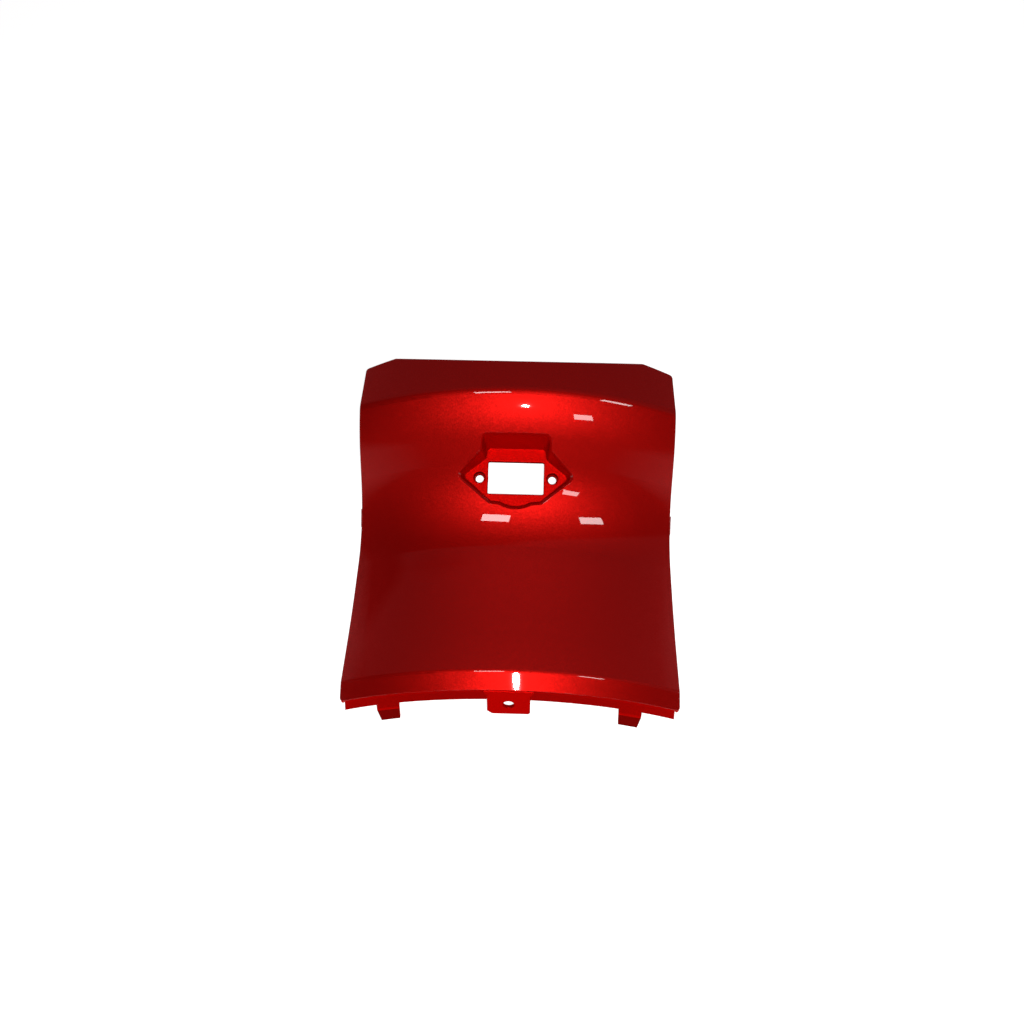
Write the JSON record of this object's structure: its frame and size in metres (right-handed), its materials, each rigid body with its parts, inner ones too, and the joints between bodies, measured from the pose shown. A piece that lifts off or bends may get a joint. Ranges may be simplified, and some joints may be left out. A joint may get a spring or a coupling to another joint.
{
  "type": "middle fairing connector",
  "caption": "Curved moulded front fairing panel with a bag-hook recess and window, a joggled lower lip, push-in side tabs, side claws and a screw tab.",
  "frame": {"origin": "middle of the bounding box, at the table the panel lies on", "axes": "+X across the panel, +Y from the lipped lower edge to the top flange, +Z out of the painted face"},
  "size_m": [0.2268, 0.2398, 0.1009],
  "materials": {
    "red_paint": "deep red metallic paint under a gloss clear coat"
  },
  "bodies": {
    "root": {"fairing_panel": "red_paint"}
  },
  "joints": []
}
